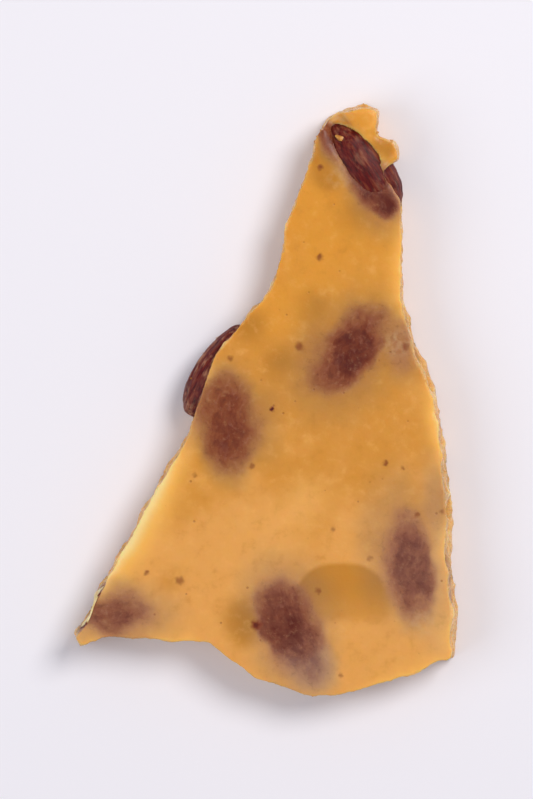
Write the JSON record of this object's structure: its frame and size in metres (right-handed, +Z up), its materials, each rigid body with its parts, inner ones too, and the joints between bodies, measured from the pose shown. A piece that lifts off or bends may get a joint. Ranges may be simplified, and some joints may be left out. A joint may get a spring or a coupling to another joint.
{
  "type": "almond brittle piece",
  "caption": "Broken, roughly triangular piece of almond brittle: a flat slab of butter toffee with whole almonds set in it.",
  "frame": {"origin": "centre of the bounding box in plan, on the surface that the piece lies on", "axes": "+Z up, out of the smooth shown side; +Y along the piece, from its wide end to its narrow crest; +X across it"},
  "size_m": [0.0552, 0.0848, 0.0079],
  "materials": {
    "toffee": "satin, slightly translucent butter toffee",
    "almond_skin": "matte, finely wrinkled skin"
  },
  "bodies": {
    "root": {"toffee": "toffee", "almond_1": "almond_skin", "almond_2": "almond_skin", "almond_3": "almond_skin", "almond_4": "almond_skin", "almond_5": "almond_skin", "almond_6": "almond_skin", "almond_7": "almond_skin", "almond_8": "almond_skin", "almond_9": "almond_skin"}
  },
  "joints": []
}
